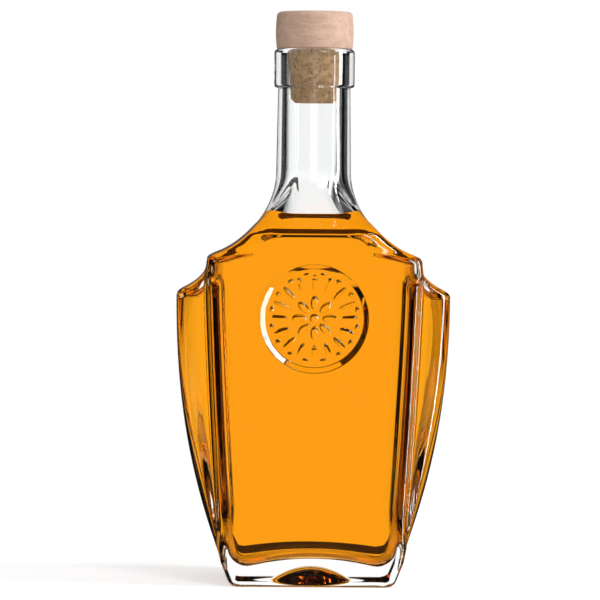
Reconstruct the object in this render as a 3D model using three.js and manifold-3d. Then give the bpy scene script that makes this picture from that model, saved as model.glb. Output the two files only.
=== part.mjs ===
// A half-litre decanter bottle of clear moulded glass, filled with amber liquor and closed by a
// turned wooden stopper on a cork shank. Millimetres, +Z up, the panel with the medallion faces -Y.
// The origin is on the table, under the axis of the neck.
import * as THREE from "three";
import { mergeVertices } from "three/addons/utils/BufferGeometryUtils.js";
import Module from "manifold-3d";

// Heights of the glass, each one stacked on the one before
const sideHeight = 109.3; // table to the top corners of the side wings
const wingSlopeHeight = 11.5; // from there up the hollow slopes to the central block
const blockCornerHeight = 2.2; // from there to the top corners of the block
const shoulderHeight = 32; // from there to the foot of the neck
const neckHeight = 31.3; // from there to the underside of the mouth ring
const ringHeight = 14.6; // from there to the rim

// Half-widths across the front, half-depths from front to back, and radii of the glass
const baseHalfWidth = 30.4;
const wingHalfWidth = 51.35;
const blockHalfWidth = 40.1; // where the wings' slopes meet the block
const blockNarrowing = 6.3; // how much narrower the block gets towards the table
const blockTopHalfWidth = 39.7;
const baseHalfDepth = 29.6;
const blockTopHalfDepth = 31;
const wingBaseHalfDepth = 18;
const wingTopHalfDepth = 20.5;
const neckFootRadius = 14.1;
const neckTopRadius = 13.65;
const ringRadius = 15.2;
const boreRadius = 10.5;

// How the forms run into each other
const foldRise = 10.2; // the flat panels end this far above the block's top corners
const sideBulge = 2.25; // the power of the curve up the side
const shoulderHollow = 0.69; // below 1 the shoulders are hollow
const wingSlopeHollow = 2.4; // above 1 the wings' slopes are hollow
const blockNarrowingPower = 1.3;
const blockDraft = 0.8; // the block's sides lean in by this much towards the panels
const panelCornerRadius = 3.2;
const shoulderEdgeRadius = 5.5; // of the same corners where they run up the shoulders
const steepestStretch = 2.4; // of a corner's radius across a slope, for its width in the level
const rootRadius = 1.4; // the hollow corner between block and wing
const wingTopRounding = 7; // of the wings' edges, front to back
const wingBaseRounding = 13;
const wingFade = 3; // a wing that stands out less than this melts into the block
const wingFootHeight = 26; // below this the wings grow out of the base
const glassSoftness = 1.2; // corners in height are rounded over this much
const foldSoftness = 2; // and the fold between panel and shoulder over this much
const heelRadius = 2.4;
const ringTopRounding = 1.6;
const ringUnderRounding = 1.2;
const mouthRounding = 1;

// The wall, the base and the cavity
const wallThickness = 3;
const sideThickening = 1.2; // more glass at the outer sides of the wings
const cavitySoftness = 2.4; // the cavity's corners in height are rounded over this much
const slopeWall = 1; // more glass above the cavity, measured upwards, where the form slopes
const wallThickeningBelowNeck = 27; // over this height the wall grows to the neck's
const innerCornerGain = 1.6; // the cavity's corners are rounder than the outside's
const floorThickness = 7.2; // at the corners of the cavity
const floorArch = 3.2; // the floor rises by this much to the middle
const floorArchFade = 18; // and the arch dies out in this height of wall
const floorFillet = 5;
const footInset = 1.8; // the flat foot starts this far inside the side
const footWidth = 5.5;
const puntRadius = 16;
const puntHeight = 6.4; // of the dome's middle above the table
const puntEdgeHeight = 1; // of the dome's edge

// The medallion pressed into the front panel
const medallionHeight = 100; // of its centre above the table
const medallionRadius = 20.4;
const medallionDepth = 1.8;
const medallionBevel = 2.3;
const rosettePetals = 8;
const rosetteRadius = 8.2;
const rayCount = 16;
const rayInnerRadius = 10.2;
const rayOuterRadius = 16.2;
const beadRadius = 0.8;
const reliefHeight = 0.7;

// Liquor and stopper
const fillHeight = 137; // of the liquor above the table
const liquorGap = 0.3; // between the liquor's solid and the glass
const headRadius = 14.7;
const headEdgeRadius = 14.35; // the turned head bellies out a little between its edges
const headHeight = 14;
const headTopRounding = 1.7;
const headUnderRounding = 0.5;
const shankLength = 20.5; // below the rim
const shankClearance = 0.3; // round the cork, in the bore and in its socket
const shankTaper = 1.4; // the cork is this much slimmer at its lower end
const shankChamfer = 1.6;
const socketDepth = 4; // of the cork in the head

// Segments
const quarterSteps = { wingSide: 1, wingCorner: 3, wingFace: 1, root: 1, blockSide: 1, panelCorner: 3, panel: 2 };
const quarterCount = Object.values(quarterSteps).reduce((sum, n) => sum + n, 0);

// Levels that follow from the sizes
const wingCornerZ = sideHeight;
const wingSlopeTopZ = wingCornerZ + wingSlopeHeight;
const blockCornerZ = wingSlopeTopZ + blockCornerHeight;
const foldZ = blockCornerZ + foldRise;
const neckFootZ = blockCornerZ + shoulderHeight;
const ringUnderZ = neckFootZ + neckHeight;
const rimZ = ringUnderZ + ringHeight;

const mix = (a, b, t) => a + (b - a) * t;
const clamp01 = (t) => Math.min(1, Math.max(0, t));
const ease = (t) => clamp01(t) ** 2 * (3 - 2 * clamp01(t));
const hollow = (u) => 1 - (1 - clamp01(u) ** 2) ** shoulderHollow;

// The mean of a profile over a short height, which rounds its corners.
function softened(profile, z, reach = glassSoftness) {
  const offsets = [-1, -0.5, 0, 0.5, 1];
  return offsets.reduce((sum, t) => sum + profile(z + t * reach), 0) / offsets.length;
}

function neckRadiusAt(z) {
  return mix(neckFootRadius, neckTopRadius, clamp01((z - neckFootZ) / neckHeight));
}

// The outline seen from the front: a bulging curve up the side, a hollow slope over the wing, the
// block's corner and the hollow shoulder.
function sharpHalfWidth(z) {
  if (z >= neckFootZ) return neckRadiusAt(z);
  if (z >= blockCornerZ) {
    return mix(neckFootRadius, blockTopHalfWidth, hollow((neckFootZ - z) / shoulderHeight));
  }
  if (z >= wingSlopeTopZ) {
    return mix(blockHalfWidth, blockTopHalfWidth, (z - wingSlopeTopZ) / blockCornerHeight);
  }
  if (z >= wingCornerZ) {
    const down = (wingSlopeTopZ - z) / wingSlopeHeight;
    return mix(blockHalfWidth, wingHalfWidth, down ** wingSlopeHollow);
  }
  return mix(wingHalfWidth, baseHalfWidth, (1 - z / wingCornerZ) ** sideBulge);
}
const halfWidthAt = (z) => softened(sharpHalfWidth, z);

// The outline seen from the side: straight panels that lean in towards the table, and a hollow
// shoulder from the fold to the neck.
function sharpHalfDepth(z) {
  if (z >= neckFootZ) return neckRadiusAt(z);
  const top = blockTopHalfDepth;
  if (z >= foldZ) return mix(neckFootRadius, top, hollow((neckFootZ - z) / (neckFootZ - foldZ)));
  return mix(baseHalfDepth, top, z / foldZ);
}
const halfDepthAt = (z) => softened(sharpHalfDepth, z, foldSoftness);

// How much wider a corner's rounding gets in a level where the outline leans, so that it keeps its
// radius at right angles to the slope.
function stretchAt(z) {
  const lean = (halfWidthAt(z - glassSoftness) - halfWidthAt(z + glassSoftness)) / (2 * glassSoftness);
  return Math.min(steepestStretch, Math.hypot(1, lean));
}

// The rounding between a panel and the sides: small on the block, larger on the shoulders.
function cornerAt(z) {
  return mix(panelCornerRadius, shoulderEdgeRadius, ease((z - wingSlopeTopZ) / (2 * blockCornerHeight)));
}

// The block's side: it narrows towards the table until the outline takes it over.
function blockHalfWidthAt(z) {
  const down = Math.max(0, wingSlopeTopZ - z) / wingSlopeTopZ;
  const block = blockHalfWidth - blockNarrowing * down ** blockNarrowingPower;
  return z >= wingSlopeTopZ ? halfWidthAt(z) : Math.min(block, halfWidthAt(z));
}

// Points from one place up to, but not including, the next.
function alongLine([x0, y0], [x1, y1], n) {
  return Array.from({ length: n }, (_, i) => [mix(x0, x1, i / n), mix(y0, y1, i / n)]);
}

function alongQuarterArc([cx, cy], rx, ry, from, to, n) {
  return Array.from({ length: n }, (_, i) => {
    const t = (mix(from, to, i / n) * Math.PI) / 2;
    return [cx + rx * Math.cos(t), cy + ry * Math.sin(t)];
  });
}

// A quarter of a level, from the side (+X) to the panel (+Y), as an ellipse.
function ellipseQuarter(w, d) {
  return [...alongQuarterArc([0, 0], w, d, 0, 1, quarterCount), [0, d]];
}

// The same quarter as a plain rounded box.
function boxQuarter(w, d, cornerX, corner) {
  const { panelCorner, panel } = quarterSteps;
  const face = w - cornerX;
  const sideSteps = quarterCount - panelCorner - panel;
  return [
    ...alongLine([w, 0], [w, d - corner], sideSteps),
    ...alongQuarterArc([face, d - corner], cornerX, corner, 0, 1, panelCorner),
    ...alongLine([face, d], [0, d], panel),
    [0, d],
  ];
}

// The same quarter as a block with a thinner wing on its side.
function wingedQuarter(w, d, block, wingDepth, corner, root, rounding, stretch) {
  const s = quarterSteps;
  const reach = w - block;
  const rx = Math.min(rounding * stretch, reach * 0.65);
  const r = Math.min(root, reach * 0.25);
  const face = block - blockDraft - corner;
  return [
    ...alongLine([w, 0], [w, wingDepth - rounding], s.wingSide),
    ...alongQuarterArc([w - rx, wingDepth - rounding], rx, rounding, 0, 1, s.wingCorner),
    ...alongLine([w - rx, wingDepth], [block + r, wingDepth], s.wingFace),
    ...alongQuarterArc([block + r, wingDepth + r], r, r, 3, 2, s.root),
    ...alongLine([block, wingDepth + r], [block - blockDraft, d - corner], s.blockSide),
    ...alongQuarterArc([face, d - corner], corner, corner, 0, 1, s.panelCorner),
    ...alongLine([face, d], [0, d], s.panel),
    [0, d],
  ];
}

const mixPoints = (a, b, t) => a.map(([x, y], i) => [mix(x, b[i][0], t), mix(y, b[i][1], t)]);

// Mirrors a quarter into a whole level, counterclockwise from +X.
function wholeLevel(quarter, z) {
  const there = quarter.slice(0, -1);
  const back = quarter.slice(1).reverse();
  return [
    ...there.map(([x, y]) => [x, y, z]),
    ...back.map(([x, y]) => [-x, y, z]),
    ...there.map(([x, y]) => [-x, -y, z]),
    ...back.map(([x, y]) => [x, -y, z]),
  ];
}

// How much further than its wall the cavity stays inside the outline seen from the front: round
// its own softer corners, and along the thick outer sides of the wings.
function cavityDrawnInAt(z) {
  const softer = halfWidthAt(z) - softened(sharpHalfWidth, z, cavitySoftness);
  return Math.max(0, softer) + sideThickening * (1 - ease((z - wingCornerZ) / wingSlopeHeight));
}

// The level of the body at height z, drawn in by inset and taken from the form lowered by sink,
// so that a cavity keeps its wall under the sloping shoulders as well.
function bodyLevel(z, inset = 0, sink = 0) {
  const least = (profile) => Math.min(profile(z), profile(z + sink)) - inset;
  const w = least(halfWidthAt) - (sink > 0 ? cavityDrawnInAt(z) : 0);
  const d = least(halfDepthAt);
  const block = Math.min(w, least(blockHalfWidthAt));
  const upward = clamp01(z / wingCornerZ);
  const wingDepth = mix(wingBaseHalfDepth, wingTopHalfDepth, upward) - inset;
  const rounder = inset > 0 ? innerCornerGain : 0;
  const corner = cornerAt(z) + rounder;
  const stretch = stretchAt(z);
  const rounding = Math.min(mix(wingBaseRounding, wingTopRounding, upward), wingDepth * 0.8);
  const round = ease((z + sink - foldZ) / (neckFootZ - foldZ));
  const winged = clamp01((w - block) / wingFade);
  let quarter = boxQuarter(w, d, Math.min(corner * stretch, w * 0.6), Math.min(corner, d * 0.6));
  if (winged > 0) {
    const stepped = wingedQuarter(w, d, block, wingDepth, corner, rootRadius + rounder, rounding, stretch);
    quarter = mixPoints(quarter, stepped, winged);
  }
  return wholeLevel(mixPoints(quarter, ellipseQuarter(w, d), round), z);
}

const roundLevel = (r, z) => wholeLevel(ellipseQuarter(r, r), z);

// Heights from one level to the next, the last left out.
function heights(from, to, n) {
  return Array.from({ length: n }, (_, i) => mix(from, to, i / n));
}

// The heights at which the body's form is taken, from the side's foot to the foot of the neck.
function bodyHeights(from) {
  const soft = glassSoftness * 1.5;
  return [
    ...heights(from, wingFootHeight, 3),
    ...heights(wingFootHeight, wingCornerZ - soft, 5),
    ...heights(wingCornerZ - soft, wingCornerZ + soft, 4),
    ...heights(wingCornerZ + soft, wingSlopeTopZ, 4),
    ...heights(wingSlopeTopZ, blockCornerZ + soft, 4),
    ...heights(blockCornerZ + soft, foldZ - foldSoftness, 3),
    ...heights(foldZ - foldSoftness, foldZ + foldSoftness, 3),
    ...heights(foldZ + foldSoftness, neckFootZ, 6),
  ];
}

// One closed surface through rings of points: a fan, the rings joined one to the next, a fan.
// Each four-sided field between two rings is split along its shorter diagonal.
function skin(start, rings, end) {
  const n = rings[0].length;
  const points = [start, ...rings.flat(), end];
  const last = points.length - 1;
  const at = (ring, i) => 1 + ring * n + (i % n);
  const apart = (a, b) => Math.hypot(...points[a].map((v, k) => v - points[b][k]));
  const index = [];
  for (let i = 0; i < n; i++) {
    index.push(0, at(0, i + 1), at(0, i));
    for (let ring = 0; ring + 1 < rings.length; ring++) {
      const [a, b] = [at(ring, i), at(ring, i + 1)];
      const [c, d] = [at(ring + 1, i + 1), at(ring + 1, i)];
      if (apart(a, c) <= apart(b, d)) index.push(a, b, c, a, c, d);
      else index.push(a, b, d, b, c, d);
    }
    index.push(at(rings.length - 1, i), at(rings.length - 1, i + 1), last);
  }
  const geometry = new THREE.BufferGeometry();
  geometry.setAttribute("position", new THREE.Float32BufferAttribute(points.flat(), 3));
  geometry.setIndex(index);
  return geometry;
}

// A solid of revolution about Z through points of radius and height, from axis to axis.
function turned(profile) {
  const rings = profile.slice(1, -1).map(([r, z]) => roundLevel(r, z));
  return skin([0, 0, profile[0][1]], rings, [0, 0, profile.at(-1)[1]]);
}

// Points of a quarter round on a turned profile, both ends included.
function roundedEdge([cx, cz], radius, from, to, n = 3) {
  return [...alongQuarterArc([cx, cz], radius, radius, from, to, n),
    ...alongQuarterArc([cx, cz], radius, radius, to, to, 1)];
}

// Levels of a heel or fillet between a flat at z and the wall above it, from the flat up.
function filletLevels(z, radius, inset, sink, n) {
  return Array.from({ length: n }, (_, i) => {
    const t = ((i / n) * Math.PI) / 2;
    return bodyLevel(z + radius * (1 - Math.cos(t)), inset + radius * (1 - Math.sin(t)), sink);
  });
}

// The arch of the cavity's floor: it lifts the lowest levels in the middle and dies out upwards.
function arched(level) {
  const reach = Math.max(...level.map(([x]) => x));
  const rise = (x) => floorArch * (1 - (x / reach) ** 2);
  const fade = (z) => clamp01(1 - (z - floorThickness) / floorArchFade);
  return level.map(([x, y, z]) => [x, y, z + rise(x) * fade(z)]);
}

// The wall grows from the body's to the neck's over the top of the shoulder.
function wallAt(z) {
  const grown = ease((z - neckFootZ + wallThickeningBelowNeck) / wallThickeningBelowNeck);
  return mix(wallThickness, neckFootRadius - boreRadius, grown);
}

// The cavity from the middle of its floor up to a given height.
function cavityLevels(topZ) {
  const corner = filletLevels(floorThickness, floorFillet, wallThickness, slopeWall, 3);
  const walls = [...bodyHeights(floorThickness + floorFillet).filter((z) => z < topZ), topZ]
    .map((z) => bodyLevel(z, wallAt(z), slopeWall));
  const levels = [...corner, ...walls].map(arched);
  const crown = floorThickness + floorArch;
  const floor = [0.3, 0.65].map((f) =>
    levels[0].map(([x, y, z]) => [x * f, y * f, mix(crown, z, f ** 2)]));
  return { crown, levels: [...floor, ...levels] };
}

// A level drawn in by gap at right angles to its own outline, and moved away from the glass in
// height as well: up at the floor, down under the slopes.
function clearOfGlass(level, gap) {
  const at = (i) => level[(i + level.length) % level.length];
  const away = (z) => gap * (1 - 2 * clamp01((z - floorThickness) / (wingCornerZ - floorThickness)));
  return level.map(([x, y, z], i) => {
    const [px, py] = at(i - 1);
    const [nx, ny] = at(i + 1);
    const along = Math.hypot(nx - px, ny - py);
    return [x - (gap * (ny - py)) / along, y + (gap * (nx - px)) / along, z + away(z)];
  });
}

// The underside: a round dome in the middle of a shallow hollow, inside a flat foot.
function undersideLevels() {
  const foot = bodyLevel(0, footInset);
  const inner = bodyLevel(0, footInset + footWidth);
  const dome = [0.3, 0.6, 0.85, 1].map((f) =>
    roundLevel(puntRadius * f, mix(puntHeight, puntEdgeHeight, f ** 2)));
  return [...dome, inner, foot];
}

function heelLevels() {
  return Array.from({ length: 2 }, (_, i) => {
    const t = (((i + 1) / 3) * Math.PI) / 2;
    return bodyLevel(heelRadius * (1 - Math.cos(t)), footInset * (1 - Math.sin(t)));
  });
}

// The mouth ring and the rim, from the top of the neck over the rim into the bore.
function mouthLevels() {
  const under = ringRadius - ringUnderRounding;
  const top = ringRadius - ringTopRounding;
  const outside = [
    [neckTopRadius, ringUnderZ],
    ...roundedEdge([under, ringUnderZ + ringUnderRounding], ringUnderRounding, 3, 4, 2),
    ...roundedEdge([top, rimZ - ringTopRounding], ringTopRounding, 0, 1, 2),
  ];
  const lip = boreRadius + mouthRounding;
  const inside = roundedEdge([lip, rimZ - mouthRounding], mouthRounding, 1, 2, 2);
  return [...outside, ...inside].map(([r, z]) => roundLevel(r, z));
}

const wasm = await Module();
wasm.setup();

function solidFrom(geometry) {
  const bare = geometry.clone();
  bare.deleteAttribute("normal");
  bare.deleteAttribute("uv");
  const merged = mergeVertices(bare, 1e-4);
  return new wasm.Manifold(new wasm.Mesh({
    numProp: 3,
    vertProperties: new Float32Array(merged.attributes.position.array),
    triVerts: new Uint32Array(merged.index.array),
  }));
}

function geometryFrom(solid) {
  const mesh = solid.getMesh();
  const geometry = new THREE.BufferGeometry();
  geometry.setAttribute("position", new THREE.BufferAttribute(mesh.vertProperties, 3));
  geometry.setIndex(new THREE.BufferAttribute(mesh.triVerts, 1));
  return geometry;
}

// The glass before the medallion is pressed in.
function plainBottle() {
  const cavity = cavityLevels(neckFootZ);
  const rings = [
    ...undersideLevels(),
    ...heelLevels(),
    ...bodyHeights(heelRadius).map((z) => bodyLevel(z)),
    roundLevel(neckFootRadius, neckFootZ),
    ...mouthLevels(),
    ...cavity.levels.reverse(),
  ];
  return skin([0, 0, puntHeight], rings, [0, 0, cavity.crown]);
}

// Puts a shape made on the XY plane onto the front panel, its +Z out of the glass.
function ontoFrontPanel(geometry) {
  const lean = Math.atan2(blockTopHalfDepth - baseHalfDepth, foldZ);
  return geometry
    .rotateX(Math.PI / 2 + lean)
    .translate(0, -sharpHalfDepth(medallionHeight), medallionHeight);
}

function medallionRecess() {
  const floor = medallionRadius - medallionBevel;
  const above = 1;
  const outer = medallionRadius + (medallionBevel * above) / medallionDepth;
  return turned([[0, -medallionDepth], [floor, -medallionDepth], [outer, above], [0, above]]);
}

// A low bead or leaf on the medallion's floor, at an angle and a distance from its centre.
function lens(length, width, distance, angle) {
  return new THREE.SphereGeometry(1, 6, 4)
    .rotateX(Math.PI / 2)
    .scale(length / 2, width / 2, reliefHeight)
    .translate(distance, 0, -medallionDepth)
    .rotateZ(angle);
}

// A plain rosette with rays and beads round it.
function medallionRelief() {
  const petal = rosetteRadius * 0.62;
  const ray = rayOuterRadius - rayInnerRadius;
  const turn = (i, count) => (i / count) * 2 * Math.PI;
  const relief = [lens(4 * beadRadius, 4 * beadRadius, 0, 0)];
  for (let i = 0; i < rosettePetals; i++) {
    relief.push(lens(petal, petal * 0.5, rosetteRadius - petal / 2, turn(i, rosettePetals)));
  }
  for (let i = 0; i < rayCount; i++) {
    relief.push(lens(ray, ray * 0.24, (rayInnerRadius + rayOuterRadius) / 2, turn(i, rayCount)));
    relief.push(lens(2 * beadRadius, 2 * beadRadius, rayOuterRadius, turn(i + 0.5, rayCount)));
  }
  return relief;
}

function bottleGeometry() {
  const recess = solidFrom(ontoFrontPanel(medallionRecess()));
  let glass = solidFrom(plainBottle()).subtract(recess);
  for (const shape of medallionRelief()) {
    glass = glass.add(solidFrom(ontoFrontPanel(shape)));
  }
  return geometryFrom(glass);
}

function liquorGeometry() {
  const { crown, levels } = cavityLevels(fillHeight + liquorGap);
  const inside = levels.map((level) => clearOfGlass(level, liquorGap));
  return skin([0, 0, crown + liquorGap], inside, [0, 0, fillHeight]);
}

// The turned head, with a blind socket for the cork in its flat underside.
function headGeometry() {
  const topZ = rimZ + headHeight;
  const socket = boreRadius;
  const belly = headRadius - headEdgeRadius;
  const side = [0.25, 0.5, 0.75].map((t) => {
    const z = mix(rimZ + headUnderRounding, topZ - headTopRounding, t);
    return [headEdgeRadius + belly * (1 - (2 * t - 1) ** 2), z];
  });
  return turned([
    [0, rimZ + socketDepth],
    [socket, rimZ + socketDepth],
    [socket, rimZ],
    ...roundedEdge([headEdgeRadius - headUnderRounding, rimZ + headUnderRounding],
      headUnderRounding, 3, 4, 2),
    ...side,
    ...roundedEdge([headEdgeRadius - headTopRounding, topZ - headTopRounding], headTopRounding, 0, 1, 4),
    [0, topZ],
  ]);
}

function shankGeometry() {
  const radius = boreRadius - shankClearance;
  const foot = rimZ - shankLength;
  const slim = radius - shankTaper;
  return turned([
    [0, foot],
    [slim - shankChamfer, foot],
    [slim, foot + shankChamfer],
    [radius, rimZ - mouthRounding],
    [radius, rimZ + socketDepth - shankClearance],
    [0, rimZ + socketDepth - shankClearance],
  ]);
}

function piece(name, geometry, material) {
  const mesh = new THREE.Mesh(geometry, new THREE.MeshStandardMaterial(material));
  mesh.name = name;
  return mesh;
}

const clearGlass = { color: 0xeef3f4, roughness: 0.03, metalness: 0, transparent: true, opacity: 0.35 };
const amberLiquor = { color: 0xfda20f, roughness: 0.02, metalness: 0, transparent: true, opacity: 0.8 };
const paleBeech = { color: 0xd9b7a2, roughness: 0.6, metalness: 0 };
const tanCork = { color: 0xa9825c, roughness: 0.8, metalness: 0 };

const decanter = new THREE.Group();
const filledBottle = new THREE.Group();
filledBottle.add(piece("bottle", bottleGeometry(), clearGlass));
filledBottle.add(piece("liquor", liquorGeometry(), amberLiquor));
const stopper = new THREE.Group();
stopper.add(piece("stopper_head", headGeometry(), paleBeech));
stopper.add(piece("stopper_shank", shankGeometry(), tanCork));
decanter.add(filledBottle, stopper);

export default decanter;
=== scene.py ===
import math

import bpy
import numpy as np
from mathutils import Matrix, Vector


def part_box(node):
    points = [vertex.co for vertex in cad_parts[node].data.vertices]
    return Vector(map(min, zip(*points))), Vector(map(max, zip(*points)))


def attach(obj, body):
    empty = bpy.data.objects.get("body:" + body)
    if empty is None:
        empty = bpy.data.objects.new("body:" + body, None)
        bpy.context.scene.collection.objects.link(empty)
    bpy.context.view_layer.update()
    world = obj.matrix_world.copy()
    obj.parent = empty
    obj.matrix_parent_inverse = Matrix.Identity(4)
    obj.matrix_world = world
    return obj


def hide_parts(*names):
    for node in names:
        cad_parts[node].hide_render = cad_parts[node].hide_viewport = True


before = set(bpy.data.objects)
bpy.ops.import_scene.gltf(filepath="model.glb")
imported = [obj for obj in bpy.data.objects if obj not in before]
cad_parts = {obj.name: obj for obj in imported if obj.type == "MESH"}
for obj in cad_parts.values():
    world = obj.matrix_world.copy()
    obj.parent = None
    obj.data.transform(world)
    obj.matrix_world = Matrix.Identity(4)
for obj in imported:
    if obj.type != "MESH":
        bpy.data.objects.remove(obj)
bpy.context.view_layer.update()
mm = 0.001  # shapes are worked out in millimetres and enter their meshes in metres
halfPi = math.pi / 2
print("frame loaded:", ", ".join(sorted(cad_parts)))


# What the shapes share

def mix(a, b, t):
    return a + (b - a) * t


def clamp01(t):
    return np.clip(t, 0.0, 1.0)


def ease(t):
    # 3t^2 - 2t^3, held at its ends
    t = clamp01(t)
    return t * t * (3 - 2 * t)


def topOf(node):
    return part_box(node)[1].z / mm


def bottomOf(node):
    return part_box(node)[0].z / mm


def gridFaces(rows, columns, start=0):
    # four-sided faces between rows of a grid whose columns close on themselves
    i, j = np.meshgrid(np.arange(rows - 1), np.arange(columns), indexing="ij")
    k = (j + 1) % columns
    corners = [i * columns + j, i * columns + k, (i + 1) * columns + k, (i + 1) * columns + j]
    return start + np.stack(corners, axis=-1)


def fanFaces(centre, ring, inward):
    # triangles from a pole to a ring of points, wound so that they continue the grid beside them
    after = np.roll(ring, -1)
    ends = (ring, after) if inward else (after, ring)
    return np.stack([np.full_like(ring, centre), *ends], axis=-1)


def addPiece(name, points, faces, materials, body, node, materialIndex=None):
    mesh = bpy.data.meshes.new(name)
    mesh.from_pydata((points * mm).tolist(), [], faces)
    for material in materials:
        mesh.materials.append(material)
    if materialIndex is not None:
        mesh.polygons.foreach_set("material_index", materialIndex)
    mesh.polygons.foreach_set("use_smooth", np.ones(len(mesh.polygons), dtype=bool))
    mesh.update()
    piece = bpy.data.objects.new(name, mesh)
    bpy.context.scene.collection.objects.link(piece)
    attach(piece, body)
    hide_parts(node)
    triangles = sum(len(face) - 2 for face in faces)
    print(f"{name}: {len(points)} points, {triangles} triangles")
    return piece


def addNode(tree, kind, inputs=None, **settings):
    node = tree.nodes.new(kind)
    for key, value in settings.items():
        setattr(node, key, value)
    for key, value in (inputs or {}).items():
        if isinstance(value, bpy.types.NodeSocket):
            tree.links.new(value, node.inputs[key])
        else:
            node.inputs[key].default_value = value
    return node


def newMaterial(name):
    material = bpy.data.materials.new(name)
    material.use_nodes = True
    tree = material.node_tree
    tree.nodes.clear()
    return material, tree


def objectNoise(tree, place, scale, detail, **more):
    # clouds of noise through the piece, as many to the metre as the scale says
    inputs = {"Vector": place, "Scale": scale, "Detail": detail, **more}
    return addNode(tree, "ShaderNodeTexNoise", inputs).outputs["Fac"]


def twoTones(tree, value, darkAt, dark, paleAt, pale):
    # a dark tone up to one value, a pale one from another, blended between them
    ramp = addNode(tree, "ShaderNodeValToRGB", {"Fac": value})
    for element, position, tone in zip(ramp.color_ramp.elements, (darkAt, paleAt), (dark, pale)):
        element.position = position
        element.color = (*tone, 1)
    return ramp.outputs["Color"]


def mapped(tree, value, **ends):
    # a value carried from one range to another, held at the ends
    inputs = {"Value": value, **{name.replace("_", " "): end for name, end in ends.items()}}
    return addNode(tree, "ShaderNodeMapRange", inputs).outputs["Result"]


def spotted(tree, mask, under, spots):
    # a colour with spots of another one where the mask is high
    colours = {"Factor": mask, "A": under, "B": (*spots, 1)}
    return addNode(tree, "ShaderNodeMix", colours, data_type="RGBA").outputs["Result"]


def raised(tree, height, strength, distance):
    # the direction of a surface with a fine relief, its height in metres
    inputs = {"Height": height, "Strength": strength, "Distance": distance}
    return addNode(tree, "ShaderNodeBump", inputs).outputs["Normal"]


# Camera, where the photographer's stood: far off, a little to the left, level with the panel
cameraSetup = {
    "distance": 1.5,
    "height": 0.147,
    "yaw": 1.6,  # degrees to the left of straight on
    "roll": 0.5,  # degrees
    "aim": (-0.0047, 0, 0.1061),
    "pictureWidth": 0.2269,  # what the picture takes in, at the distance of the bottle's axis
}


def makeCamera(setup):
    data = bpy.data.cameras.new("camera")
    camera = bpy.data.objects.new("camera", data)
    bpy.context.scene.collection.objects.link(camera)
    yaw = math.radians(setup["yaw"])
    place = Vector((-math.sin(yaw), -math.cos(yaw), 0)) * setup["distance"]
    place.z = setup["height"]
    turn = (Vector(setup["aim"]) - place).to_track_quat("-Z", "Y").to_matrix().to_4x4()
    roll = Matrix.Rotation(math.radians(setup["roll"]), 4, "Z")
    camera.matrix_world = Matrix.Translation(place) @ turn @ roll
    data.lens = data.sensor_width * setup["distance"] / setup["pictureWidth"]
    data.clip_start = 0.05
    bpy.context.scene.camera = camera


makeCamera(cameraSetup)
print("camera set")


# The glass bottle, all sizes in millimetres
glass = {
    "ringHeight": 14.6, "neckHeight": 31.3, "shoulderHeight": 32,  # stacked downwards from the rim
    "blockCornerHeight": 2.2, "wingSlopeHeight": 11.5, "foldRise": 10.2,
    "baseHalfWidth": 30.4, "wingHalfWidth": 51.35, "blockHalfWidth": 40.1,
    "blockNarrowing": 6.3, "blockNarrowingPower": 1.3, "blockTopHalfWidth": 39.7,
    "baseHalfDepth": 29.6, "topHalfDepth": 31, "wingBaseHalfDepth": 18, "wingTopHalfDepth": 20.5,
    "neckFootRadius": 14.1, "neckTopRadius": 13.65, "ringRadius": 15.2, "boreRadius": 10.5,
    "sideBulge": 2.25, "shoulderHollow": 0.69, "wingSlopeHollow": 2.4,  # powers of the outline's curves
    "softness": 1.2, "foldSoftness": 2,
    "blockDraft": 0.8, "panelCorner": 3.2, "shoulderEdge": 5.5, "steepestStretch": 2.4,
    "root": 1.4, "wingFade": 3, "finish": 0.015,  # the polished surface lies this far inside the solid
    "wingTopRounding": 7, "wingBaseRounding": 13,
    # the most that a rounding takes: of the body's half width or depth, of the wing's reach past
    # the block, and of the wing's half depth
    "cornerLimit": 0.6, "wingCornerLimit": 0.65, "rootLimit": 0.25, "wingDepthLimit": 0.8,
    "heelRadius": 2.4, "footInset": 1.8, "footWidth": 5.5,
    "puntRadius": 16, "puntHeight": 6.4, "puntEdgeHeight": 1,
    "ringTopRounding": 1.6, "ringUnderRounding": 1.2, "ringRoot": 0.4, "mouthRounding": 1,
    "wall": 3, "slopeWall": 1, "wallThickening": 27, "sideThickening": 1.2,
    "cavitySoftness": 2.4, "cornerGain": 1.6,  # the cavity's corners are rounder
    "floor": 7.2, "floorArch": 3.2, "floorArchFade": 18, "floorFillet": 5,
    "waviness": 0.02,
    "colour": (0.985, 0.995, 0.99), "refraction": 1.52,
    "rippleScale": 55, "rippleStrength": 0.25, "rippleHeight": 0.0002,  # by the metre
}
# Columns of a quarter of a level, from the side (+X) round to the middle of a panel (+Y): for each
# stretch its share of the quarter turn and how its columns are spread
stretches = [
    ("wingSide", 1, np.sin(np.linspace(0, halfPi, 5))[:-1]),
    ("wingCorner", 3, np.linspace(0, 1, 11)[:-1]),
    ("wingFace", 1, (1 - np.cos(np.linspace(0, math.pi, 6)[:-1])) / 2),
    ("root", 1, np.linspace(0, 1, 6)[:-1]),
    ("blockSide", 1, (1 - np.cos(np.linspace(0, math.pi, 7)[:-1])) / 2),
    ("panelCorner", 3, np.linspace(0, 1, 9)[:-1]),
    ("panel", 2, np.append(0.36 * np.linspace(0, 1, 7)[:-1] ** 1.8, np.linspace(0.36, 1, 11))),
]
spread = {name: t for name, share, t in stretches}
shareStarts = np.cumsum([0] + [share for name, share, t in stretches])
allShares = shareStarts[-1]
sideShare = 7  # of all the shares, those that lie on the side of a plain box
quarterShares = np.concatenate([start + share * t for (name, share, t), start in
                                zip(stretches, shareStarts)])
quarterColumns = sum(len(t) for name, share, t in stretches) - 1
columns = 4 * quarterColumns
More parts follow.
